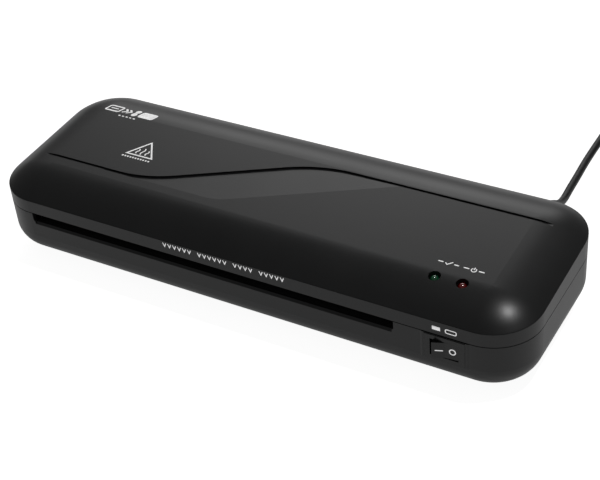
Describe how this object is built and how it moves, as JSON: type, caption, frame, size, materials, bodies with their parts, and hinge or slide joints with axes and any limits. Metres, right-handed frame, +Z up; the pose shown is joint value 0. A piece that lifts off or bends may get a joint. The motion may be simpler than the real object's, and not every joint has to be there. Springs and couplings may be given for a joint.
{
  "type": "pouch laminator",
  "caption": "Desktop pouch laminator: low rounded black case with front and rear sheet slots, rocker switch, two lamps, heated plates and a geared roller pair inside.",
  "frame": {"origin": "on the table, under the middle of the housing", "axes": "+X along the length to the right seen from the front, +Y to the back where the cord leaves, +Z up"},
  "size_m": [0.3724, 0.3232, 0.0564],
  "materials": {
    "black_plastic": "satin moulded ABS with a fine texture",
    "switch_plastic": "smooth moulded nylon",
    "foot_rubber": "matte rubber",
    "cord_rubber": "satin PVC",
    "zinc_steel": "zinc-plated steel",
    "shaft_steel": "ground steel",
    "guide_plastic": "glass-filled heat-resistant plastic",
    "gear_plastic": "natural acetal",
    "bush_bronze": "sintered bronze and brass",
    "heater_aluminium": "extruded aluminium",
    "roller_silicone": "heat-resistant silicone",
    "board_laminate": "solder-masked laminate",
    "green_lens": "tinted clear epoxy",
    "red_lens": "tinted clear epoxy"
  },
  "bodies": {
    "housing": {"board_components": "switch_plastic", "board_screws": "zinc_steel", "bracket_screws": "zinc_steel", "bracket_standoffs": "zinc_steel", "clamp_screws": "zinc_steel", "control_board": "board_laminate", "cord_clamp": "switch_plastic", "cord_coil": "cord_rubber", "cord_run": "cord_rubber", "cord_tail": "cord_rubber", "cord_tie": "cord_rubber", "cover_screws": "zinc_steel", "drive_motor": "zinc_steel", "frame_screws": "zinc_steel", "green_lamp": "green_lens", "idler_pin": "zinc_steel", "idler_washers": "zinc_steel", "inlet_lead": "cord_rubber", "left_end_frame": "zinc_steel", "lower_exit_guide": "guide_plastic", "lower_feed_guide": "guide_plastic", "lower_heater_plate": "heater_aluminium", "lower_heating_element": "heater_aluminium", "lower_housing": "black_plastic", "mains_wires": "cord_rubber", "motor_bracket": "zinc_steel", "motor_screws": "zinc_steel", "motor_wires": "cord_rubber", "plug_body": "cord_rubber", "plug_pins": "bush_bronze", "pressure_springs": "shaft_steel", "red_lamp": "red_lens", "right_end_frame": "zinc_steel", "roller_bushes": "bush_bronze", "rubber_feet": "foot_rubber", "spring_pins": "zinc_steel", "strain_relief": "cord_rubber", "switch_body": "switch_plastic", "switch_terminals": "bush_bronze", "thermal_fuse": "zinc_steel", "thermostat": "zinc_steel", "top_cover": "black_plastic", "upper_exit_guide": "guide_plastic", "upper_feed_guide": "guide_plastic", "upper_heater_plate": "heater_aluminium", "upper_heating_element": "heater_aluminium"},
    "rocker": {"rocker": "switch_plastic"},
    "lower_roller": {"lower_roller_shaft": "shaft_steel", "lower_roller_sleeve": "roller_silicone", "lower_roller_gear": "gear_plastic", "lower_shaft_clips": "zinc_steel"},
    "bearing_blocks": {"upper_bearing_blocks": "guide_plastic"},
    "upper_roller": {"upper_roller_shaft": "shaft_steel", "upper_roller_sleeve": "roller_silicone", "upper_roller_gear": "gear_plastic", "upper_shaft_clips": "zinc_steel"},
    "idler": {"idler_gear": "gear_plastic"},
    "motor_shaft": {"motor_pinion": "gear_plastic"}
  },
  "joints": [
    {"name": "rocker_tilt", "type": "hinge", "parent": "housing", "child": "rocker", "pos_m": [0.1257, -0.054, 0.0267], "axis": [0, 0, -1], "range_deg": [0, 24]},
    {"name": "lower_roller_spin", "type": "hinge", "parent": "housing", "child": "lower_roller", "pos_m": [-0.0205, 0.022, 0.023], "axis": [1, 0, 0], "continuous": true},
    {"name": "upper_block_lift", "type": "slide", "parent": "housing", "child": "bearing_blocks", "axis": [0, 0, 1], "range_m": [0, 0.0008], "stiffness_N_per_m": 9000, "springref_m": -0.0012, "deforming": ["pressure_springs"]},
    {"name": "upper_roller_spin", "type": "hinge", "parent": "bearing_blocks", "child": "upper_roller", "pos_m": [-0.0205, 0.022, 0.041], "axis": [1, 0, 0], "continuous": true},
    {"name": "idler_spin", "type": "hinge", "parent": "housing", "child": "idler", "pos_m": [0.109, 0.0058, 0.0178], "axis": [1, 0, 0], "continuous": true},
    {"name": "motor_spin", "type": "hinge", "parent": "housing", "child": "motor_shaft", "pos_m": [0.109, -0.00436, 0.02744], "axis": [1, 0, 0], "continuous": true}
  ],
  "couplings": [
    {"joint": "upper_roller_spin", "follows": "lower_roller_spin", "ratio": -1},
    {"joint": "idler_spin", "follows": "lower_roller_spin", "ratio": -1.125},
    {"joint": "motor_spin", "follows": "lower_roller_spin", "ratio": 1.5}
  ]
}
